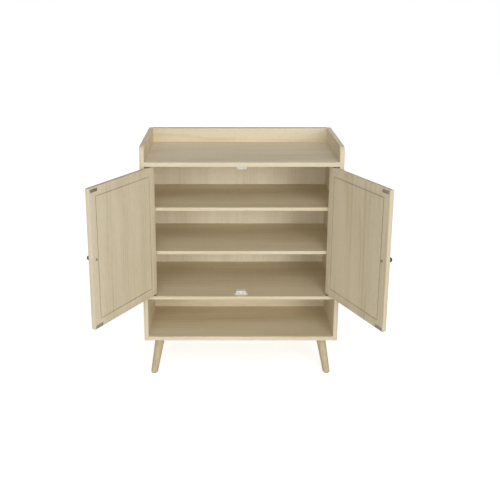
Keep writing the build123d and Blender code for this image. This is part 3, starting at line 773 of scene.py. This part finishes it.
def raise_picked(step: Vector) -> None:
    """Extrudes the picked faces of the piece in edit mode.

    Args:
        step: how far they go, and which way.
    """
    bpy.ops.mesh.extrude_region_move(TRANSFORM_OT_translate={"value": step})


def widen_picked(growth: float, level: float) -> None:
    """Grows or shrinks what is picked about the upright axis.

    Args:
        growth: how many times wider it gets.
        level: the height at which it is scaled.
    """
    bpy.ops.transform.resize(value=(growth, growth, 1), center_override=(0, 0, level))


def hand_over(piece: bpy.types.Object, node: str, body: str, finish: Finish) -> None:
    """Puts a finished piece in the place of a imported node.

    Args:
        piece: the piece, with its place in its mesh.
        node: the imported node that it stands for, whose name it takes with "_made" added.
        body: the body that it rides on.
        finish: the finish it gets.
    """
    with editing(piece):
        bpy.ops.mesh.select_all(action="SELECT")
        bpy.ops.mesh.remove_doubles(threshold=MERGE)
        bpy.ops.mesh.normals_make_consistent(inside=False)
    bpy.ops.object.shade_smooth_by_angle(angle=SMOOTH_BELOW)
    piece.name = node + "_made"
    piece.data.name = piece.name
    piece.data.materials.clear()
    piece.data.materials.append(finish.material())
    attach(piece, body)
    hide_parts(node)
    log.info("%s is made with %d faces, in %s", piece.name, len(piece.data.polygons), finish.name)


def solids(node: str, place: Matrix | None = None) -> list[Box]:
    """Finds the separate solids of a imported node.

    Args:
        node: the node's name.
        place: the frame in which their boxes are wanted; the cabinet's own if there is none.

    Returns:
        The lowest and highest corner of each solid, from the lowest solid up.
    """
    back = (place or Matrix.Identity(4)).inverted()
    mesh = bmesh.new()
    mesh.from_mesh(frame["nodes"][node].data)
    bmesh.ops.remove_doubles(mesh, verts=mesh.verts, dist=SAME_POINT)
    left, boxes = set(mesh.verts), []
    while left:
        front, found = [left.pop()], []
        while front:
            corner = front.pop()
            found.append(back @ corner.co)
            near = {edge.other_vert(corner) for edge in corner.link_edges} & left
            left -= near
            front.extend(near)
        low = Vector([min(point[axis] for point in found) for axis in range(3)])
        high = Vector([max(point[axis] for point in found) for axis in range(3)])
        boxes.append((low, high))
    mesh.free()
    return sorted(boxes, key=lambda box: (round(box[0].z, 4), round(box[0].x, 4), round(box[0].y, 4)))


def middle(box: Box) -> Vector:
    """Returns the middle of a box."""
    return (box[0] + box[1]) / 2


@dataclass(frozen=True)
class Screw:
    """A countersunk or pan-head screw with a cross recess.

    It is made upright, with the top of its head at the origin. The rim and the depth of the cross are shares
    of the head's height, the tip is a share of the shank, and the rounding and the cross's reach and arm are
    shares of the head. A taper is the share of its width that a shape keeps at its far end.
    """

    head: float
    head_height: float
    shank: float
    length: float
    pan: bool = False
    sides: int = 28
    rim: float = 0.14
    rim_taper: float = 0.9
    tip: float = 0.3
    tip_taper: float = 0.35
    rounding: float = 0.05
    cross: tuple[float, float, float] = (0.31, 0.16, 0.7)
    cross_taper: tuple[float, float] = (0.55, 0.5)

    def master(self) -> bpy.types.Object:
        """Makes the screw.

        Returns:
            The screw, its head up and its shank down.
        """
        grow = self.head / self.shank
        rim, tip = self.rim * self.head_height, self.tip * self.shank
        under, foot = -self.head_height, tip - self.length
        piece = rod(self.shank / 2, foot * UP, under - foot, self.sides)
        with editing(piece):
            pick_faces(piece, lambda at, normal: normal.z > FACING)
            if self.pan:
                raise_picked(Vector())
                widen_picked(grow, under)
            raise_picked((self.head_height - rim) * UP)
            if not self.pan:
                widen_picked(grow, under)
            raise_picked(rim * UP)
            widen_picked(self.rim_taper, 0)
            pick_faces(piece, lambda at, normal: normal.z < -FACING and at.z < under - SLACK)
            raise_picked(tip * DOWN)
            widen_picked(self.tip_taper, -self.length)
        soften(piece, self.rounding * self.head, 2)
        self.recess(piece)
        return piece

    def recess(self, piece: bpy.types.Object) -> None:
        """Cuts the cross recess, which narrows downwards.

        Args:
            piece: the screw.
        """
        reach, arm, depth = self.cross
        corner = Vector((reach * self.head, arm * self.head / 2, depth * self.head_height))
        for turn in (0.0, QUARTER):
            cutter = block(-corner, corner)
            with editing(cutter):
                pick_faces(cutter, lambda at, normal: normal.z < -FACING)
                bpy.ops.transform.resize(value=(*self.cross_taper, 1), center_override=(0, 0, -corner.z))
            cut(piece, move_to(cutter, Matrix.Rotation(turn, 4, "Z")))


def pointing(at: Vector, way: Vector) -> Matrix:
    """Returns the place at a point that turns local Z towards a direction."""
    return Matrix.Translation(at) @ way.to_track_quat("Z", "Y").to_matrix().to_4x4()


def fit_screws(screw: Screw, node: str, body: str, finish: Finish, way: Vector | None = None,
               seen_from: Matrix | None = None) -> None:
    """Fits a screw in each solid of a node.

    Args:
        screw: the kind of screw.
        node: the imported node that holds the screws.
        body: the body that they ride on.
        finish: their plating.
        way: where their heads point; up or down towards their common middle if there is none.
        seen_from: the frame in which the direction is given; the cabinet's own if there is none.
    """
    place = seen_from or Matrix.Identity(4)
    master = screw.master()
    fitted = []
    boxes = solids(node, seen_from)
    level = sum(middle(box).z for box in boxes) / len(boxes)
    for box in boxes:
        low, high = box
        centre = middle(box)
        towards = way or (UP if centre.z < level else DOWN)
        ends = [(high if t > 0 else low)[axis] if t else centre[axis] for axis, t in enumerate(towards)]
        fitted.append(copy_at(master, place @ pointing(Vector(ends), towards)))
    bpy.data.objects.remove(master)
    hand_over(join(fitted), node, body, finish)


# ---------------------------------------------------------------- sub-assemblies


@dataclass
class Carcass:
    """The boards of the cabinet, its thin back and the fittings that hold them together."""

    lying_boards: tuple[str, ...] = (
        "top_board", "bottom_board", "fixed_shelf", "shelf_lower", "shelf_upper", "lower_back_panel")
    board_screw: Screw = Screw(8.5 * MM, 3.0 * MM, 4.5 * MM, 40.0 * MM)

    def dress(self) -> None:
        """Lays the grain along each board, plates the fittings and fits the board screws."""
        for node in self.lying_boards:
            dress(node, OAK_ACROSS)
        dress("back_rail", OAK_DARK_TOP)
        for side in SIDES:
            dress(f"side_panel_{side}", OAK_UPRIGHT)
            dress(f"back_panel_{side}", OAK_PRINT)
        dress("back_joint_strip", STRIP)
        dress("cam_locks", CAST_ZINC)
        dress("dowels", BEECH)
        for node in ("back_panel_nails", "cam_bolts"):
            dress(node, ZINC_STEEL)
        fit_screws(self.board_screw, "rail_screws", "cabinet", ZINC_STEEL, BACKWARDS)
        fit_screws(self.board_screw, "lower_back_screws", "cabinet", ZINC_STEEL, DOWN)
        dress("shelf_pins", NICKEL)


@dataclass
class Legs:
    """Four splayed legs with their plates, bolts and glides."""

    plate_screw: Screw = Screw(7.6 * MM, 1.8 * MM, 4.0 * MM, 13.0 * MM)

    def dress(self) -> None:
        """Finishes the legs and what holds them, and fits the plate screws."""
        for row in ("front", "rear"):
            for side in SIDES:
                dress(f"leg_{row}_{side}", LEG_WOOD)
                dress(f"leg_plate_{row}_{side}", ZINC_STEEL)
        fit_screws(self.plate_screw, "leg_plate_screws", "cabinet", ZINC_STEEL, DOWN)
        dress("leg_bolts", ZINC_STEEL)
        dress("foot_glides", GLIDE)


@dataclass
class Catches:
    """The two double magnetic catches in the middle of the opening."""

    screw: Screw = Screw(5.6 * MM, 1.8 * MM, 3.0 * MM, 13.0 * MM)

    def dress(self) -> None:
        """Finishes the housings, magnets and pole plates, and fits the screws."""
        for end in ENDS:
            dress(f"catch_housing_{end}", WHITE)
        dress("catch_magnets", FERRITE)
        dress("catch_pole_plates", NICKEL)
        fit_screws(self.screw, "catch_screws", "cabinet", STRIKE)


@dataclass
class Hinges:
    """The cabinet halves of the four pivot hinges."""

    def dress(self) -> None:
        """Finishes the plates, pins, washers and screws."""
        for end in ENDS:
            for side in SIDES:
                dress(f"hinge_plate_{end}_{side}", STRIKE)
        dress("hinge_pins", NICKEL)
        dress("hinge_washers", NYLON)
        dress("hinge_plate_screws", NICKEL)


@dataclass
class Door:
    """One door with its knob, strike plates and hinge bushes, made in the frame of the closed door.

    The groove is given as width and depth, the knob's outline as heights and radii from its foot to its stem,
    and knob_turns as the first, last and next degree of the points round its head.
    """

    side: str
    border: float = 28.5 * MM
    groove: tuple[float, float] = (3.0 * MM, 2.0 * MM)
    edge: float = 0.8 * MM
    # the groove lines get the brown of the routed core and painted shade in the groove; top_tint browns the
    # top edge
    groove_core_and_shade: float = 0.3
    top_tint: float = 0.25
    bush_plate: float = 1.2 * MM
    bush_tube: float = 4.5 * MM
    pocket_gap: float = 0.1 * MM
    knob_outline: tuple[tuple[float, float], ...] = (
        (1.0 * MM, 5.5 * MM), (2.2 * MM, 5.0 * MM), (4.0 * MM, 4.5 * MM))
    knob_turns: tuple[int, int, int] = (-25, 86, 10)
    knob_sides: int = 48
    knob_edge: float = 0.35 * MM
    knob_screw: Screw = Screw(8.0 * MM, 2.4 * MM, 4.0 * MM, 27.0 * MM, pan=True)
    strike_corner: float = 2.5 * MM
    strike_edge: float = 0.3 * MM
    strike_hole: float = 1.6 * MM
    strike_flare: float = 2.6
    strike_press: float = 2.0 * MM
    strike_screw: Screw = Screw(5.6 * MM, 1.1 * MM, 3.0 * MM, 10.0 * MM)

    @property
    def body(self) -> str:
        """Returns the body that the door's pieces ride on."""
        return f"{self.side}_door"

    @property
    def closed(self) -> Matrix:
        """Finds the frame in which the door is closed on its pins.

        Returns:
            The closed door's frame, as it stands while the door rests where the hinge's range puts it.
        """
        hinge = next(joint for joint in frame["joints"] if joint["child"] == self.body)
        turn = Matrix.Rotation(math.radians(-hinge["range_deg"][0]), 4, Vector(hinge["axis"]))
        return Matrix.Translation(hinge["pos_m"]) @ turn

    def build(self) -> None:
        """Makes the slab, the knob, the strike plates and their screws."""
        hand_over(self.slab(), f"door_{self.side}", self.body, OAK_DOOR)
        hand_over(self.knob(), f"knob_{self.side}", self.body, POWDER)
        hand_over(self.strikes(), f"strike_plates_{self.side}", self.body, STRIKE)
        for screw, node in ((self.strike_screw, "strike_screws"), (self.knob_screw, "knob_screw")):
            fit_screws(screw, f"{node}_{self.side}", self.body, NICKEL, BACKWARDS, self.closed)

    def slab(self) -> bpy.types.Object:
        """Makes the slab: routed groove lines on both faces, rounded edges and pockets for the bushes.

        Returns:
            The slab in its place.
        """
        low, high = solids(f"door_{self.side}", self.closed)[0]
        centre, half = (low + high) / 2, (high - low) / 2
        slab = block(low, high)
        soften(slab, self.edge)
        width, depth = self.groove
        inner = half.x - self.border - width, half.z - self.border - width
        for away in (-1, 1):

            def on_line(at: Vector, normal: Vector) -> bool:
                """Says whether a face lies between the border and the field.

                Args:
                    at: the face's middle.
                    normal: the face's normal.

                Returns:
                    True for the faces that the groove takes.
                """
                x, z = abs(at.x - centre.x), abs(at.z - centre.z)
                in_border = x < inner[0] + width and z < inner[1] + width
                return normal.y * away > FLAT and in_border and (x > inner[0] or z > inner[1])

            with editing(slab):
                pick_faces(slab, lambda at, normal: normal.y * away > FLAT)
                bpy.ops.mesh.inset(thickness=self.border - self.edge)
                bpy.ops.mesh.inset(thickness=width)
                pick_faces(slab, on_line)
                raise_picked(-away * depth * BACKWARDS)
        for bush in solids(f"hinge_bushes_{self.side}", self.closed):
            self.cut_pocket(slab, bush)
        self.mark_core_and_shade(slab, low, high)
        return self.in_place(slab)

    def mark_core_and_shade(self, slab: bpy.types.Object, low: Vector, high: Vector) -> None:
        """Marks how much brown is laid: most in the groove lines, for core and painted shade, less on the top
        edge.

        Args:
            slab: the slab in the frame of the closed door.
            low: its lowest corner.
            high: its highest corner.
        """
        centre, half = (low + high) / 2, (high - low) / 2
        marks = slab.data.attributes.new("routed", "FLOAT", "FACE")
        for face, mark in zip(slab.data.polygons, marks.data):
            at = face.center - centre
            from_edge = min(half.x - abs(at.x), half.z - abs(at.z)) - self.border
            sunk = abs(at.y) < half.y - SLACK
            # the groove's faces get the brown of the core and painted shade
            if sunk and -SLACK < from_edge < self.groove[0] + SLACK:
                mark.value = self.groove_core_and_shade
            elif face.normal.z > FACING and from_edge < 0:
                mark.value = self.top_tint

    def cut_pocket(self, slab: bpy.types.Object, bush: Box) -> None:
        """Cuts the pocket for one hinge bush in the end of the slab.

        Args:
            slab: the slab.
            bush: the bush's box.
        """
        (low, high), centre, gap = bush, middle(bush), self.pocket_gap
        outwards = 1 if centre.z > 0 else -1
        end = high.z if outwards > 0 else low.z
        spread = Vector((gap, gap, 0))
        # the cutter stands a millimetre out of the board
        bottom, top = sorted((end - outwards * (self.bush_plate + gap), end + outwards * MM))
        cut(slab, block(Vector((low.x, low.y, bottom)) - spread, Vector((high.x, high.y, top)) + spread))
        foot = Vector((centre.x, centre.y, low.z - gap))
        cut(slab, rod(self.bush_tube + gap, foot, high.z - low.z + 2 * gap))

    def knob(self) -> bpy.types.Object:
        """Turns the knob: a foot, a slim stem and a flare into a round head.

        Returns:
            The knob in its place.
        """
        box = solids(f"knob_{self.side}", self.closed)[0]
        low, high = box
        centre, head, reach = middle(box), (high.x - low.x) / 2, high.y - low.y
        angles = [math.radians(degree) for degree in range(*self.knob_turns)]
        round_head = [(reach - head + head * math.sin(a), head * math.cos(a)) for a in angles]
        outline = [*self.knob_outline, *round_head]
        height, radius = outline[0]
        knob = rod(radius, Vector(), height, self.knob_sides)
        with editing(knob):
            pick_faces(knob, lambda at, normal: normal.z > FACING)
            for (below, before), (height, radius) in zip(outline, outline[1:]):
                raise_picked((height - below) * UP)
                widen_picked(radius / before, height)
            bpy.ops.mesh.poke(offset=reach - height)
        soften(knob, self.knob_edge, 2)
        foot = Vector((centre.x, high.y, centre.z))
        return move_to(knob, self.closed @ pointing(foot, FORWARDS))

    def strikes(self) -> bpy.types.Object:
        """Makes the two strike plates, each pressed round its screw.

        Returns:
            Both plates in their place.
        """
        plates = []
        for box in solids(f"strike_plates_{self.side}", self.closed):
            plate = block(*box)
            with editing(plate, "EDGE"):
                pick_edges(plate, lambda at, way: abs(way.y) > FACING)
                bpy.ops.mesh.bevel(offset=self.strike_corner, segments=6)
            soften(plate, self.strike_edge, 2)
            hole = rod(self.strike_hole, Vector(), 2 * self.strike_press, 32)
            with editing(hole):
                pick_faces(hole, lambda at, normal: normal.z > FACING)
                widen_picked(self.strike_flare, 0)
            centre = middle(box)
            foot = Vector((centre.x, box[1].y - self.strike_press, centre.z))
            cut(plate, move_to(hole, pointing(foot, BACKWARDS)))
            plates.append(plate)
        return self.in_place(join(plates))

    def in_place(self, piece: bpy.types.Object) -> bpy.types.Object:
        """Returns a piece made on the closed door, turned to where the door rests."""
        return move_to(piece, self.closed)

    def dress(self) -> None:
        """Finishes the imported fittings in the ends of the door."""
        dress(f"hinge_bushes_{self.side}", STRIKE)
        dress(f"bush_screws_{self.side}", NICKEL)


# ---------------------------------------------------------------- studio


@dataclass(frozen=True)
class Lamp:
    """A soft light far away: its strength in W/m2, its height above the horizon and its turn to the right."""

    name: str
    strength: float
    height: float
    turn: float
    spread: float = 24.0


@dataclass
class Studio:
    """Pale floor, soft lights and the camera."""

    floor_half: float = 9.0
    floor_colour: str = "F6F6F4"
    floor_roughness: float = 0.9
    floor_shine: float = 0.1
    floor_glow: float = 0.6
    sky: float = 0.385
    lamps: tuple[Lamp, ...] = (
        Lamp("level_light", 0.28, 2.0, 0.0),
        Lamp("low_light_right", 0.86, 12.0, 22.0),
        Lamp("low_light_left", 0.38, 12.0, -22.0),
        Lamp("high_light", 0.5, 46.0, 4.0),
        Lamp("rear_light", 0.4, 3.0, 160.0),
    )
    lens: float = 51.63
    camera_at: tuple[float, float, float] = (-0.0435, -2.4056, 1.4007)
    camera_pitch: float = 14.45
    shift: tuple[float, float] = (0.0494, -0.16)

    def build(self) -> None:
        """Builds the floor, the lights and the camera."""
        scene = bpy.context.scene
        scene.view_settings.view_transform = "Standard"
        self.floor()
        self.light_sky(scene)
        for lamp in self.lamps:
            self.hang(lamp)
        self.stand_camera(scene)

    def floor(self) -> None:
        """Lays a large plain floor."""
        bpy.ops.mesh.primitive_plane_add(size=2 * self.floor_half, location=(0, 0, 0))
        floor = bpy.context.object
        floor.name = "studio_floor"
        material = bpy.data.materials.new("studio_floor_matt_paint")
        material.use_nodes = True
        shader = material.node_tree.nodes["Principled BSDF"]
        shader.inputs["Base Color"].default_value = linear(self.floor_colour)
        shader.inputs["Roughness"].default_value = self.floor_roughness
        shader.inputs["Specular IOR Level"].default_value = self.floor_shine
        shader.inputs["Emission Color"].default_value = linear("FFFFFF")
        # the glow only whitens the picture of the floor, and gives the object no light
        seen = add(material.node_tree, "LightPath").outputs["Is Camera Ray"]
        glow = add(material.node_tree, "Math", {0: seen, 1: self.floor_glow}, operation="MULTIPLY").outputs[0]
        material.node_tree.links.new(glow, shader.inputs["Emission Strength"])
        floor.data.materials.append(material)

    def light_sky(self, scene: bpy.types.Scene) -> None:
        """Makes the even white light of the room, and white behind the object.

        Args:
            scene: the scene that gets the world.
        """
        world = bpy.data.worlds.new("studio_room")
        scene.world = world
        world.use_nodes = True
        tree = world.node_tree
        seen = add(tree, "LightPath").outputs["Is Camera Ray"]
        strength = add(tree, "MapRange", {0: seen, 3: self.sky, 4: 1.0}).outputs[0]
        back = tree.nodes["Background"]
        back.inputs["Color"].default_value = linear("FFFFFF")
        tree.links.new(strength, back.inputs["Strength"])

    def hang(self, lamp: Lamp) -> None:
        """Hangs one wide, soft light far away.

        Args:
            lamp: its strength and the way it shines.
        """
        light = bpy.data.lights.new(lamp.name, "SUN")
        light.energy = lamp.strength
        light.angle = math.radians(lamp.spread)
        hung = bpy.data.objects.new(lamp.name, light)
        hung.rotation_euler = (math.radians(90 - lamp.height), 0.0, math.radians(lamp.turn))
        bpy.context.scene.collection.objects.link(hung)

    def stand_camera(self, scene: bpy.types.Scene) -> None:
        """Stands the camera in front of the open doors and above the top.

        Args:
            scene: the scene that gets the camera.
        """
        lens = bpy.data.cameras.new("camera")
        lens.lens = self.lens
        lens.shift_x, lens.shift_y = self.shift
        camera = bpy.data.objects.new("camera", lens)
        camera.location = self.camera_at
        camera.rotation_euler = (math.radians(90 - self.camera_pitch), 0.0, 0.0)
        scene.collection.objects.link(camera)
        scene.camera = camera


def main() -> None:
    """Builds the sub-assemblies in order."""
    logging.basicConfig(level=logging.INFO, format="%(name)s: %(message)s")
    bpy.ops.object.select_all(action="DESELECT")
    Studio().build()
    for door in (Door(side) for side in SIDES):
        door.build()
        door.dress()
    for part in (Carcass(), Legs(), Catches(), Hinges()):
        part.dress()


if __name__ == "__main__":
    main()
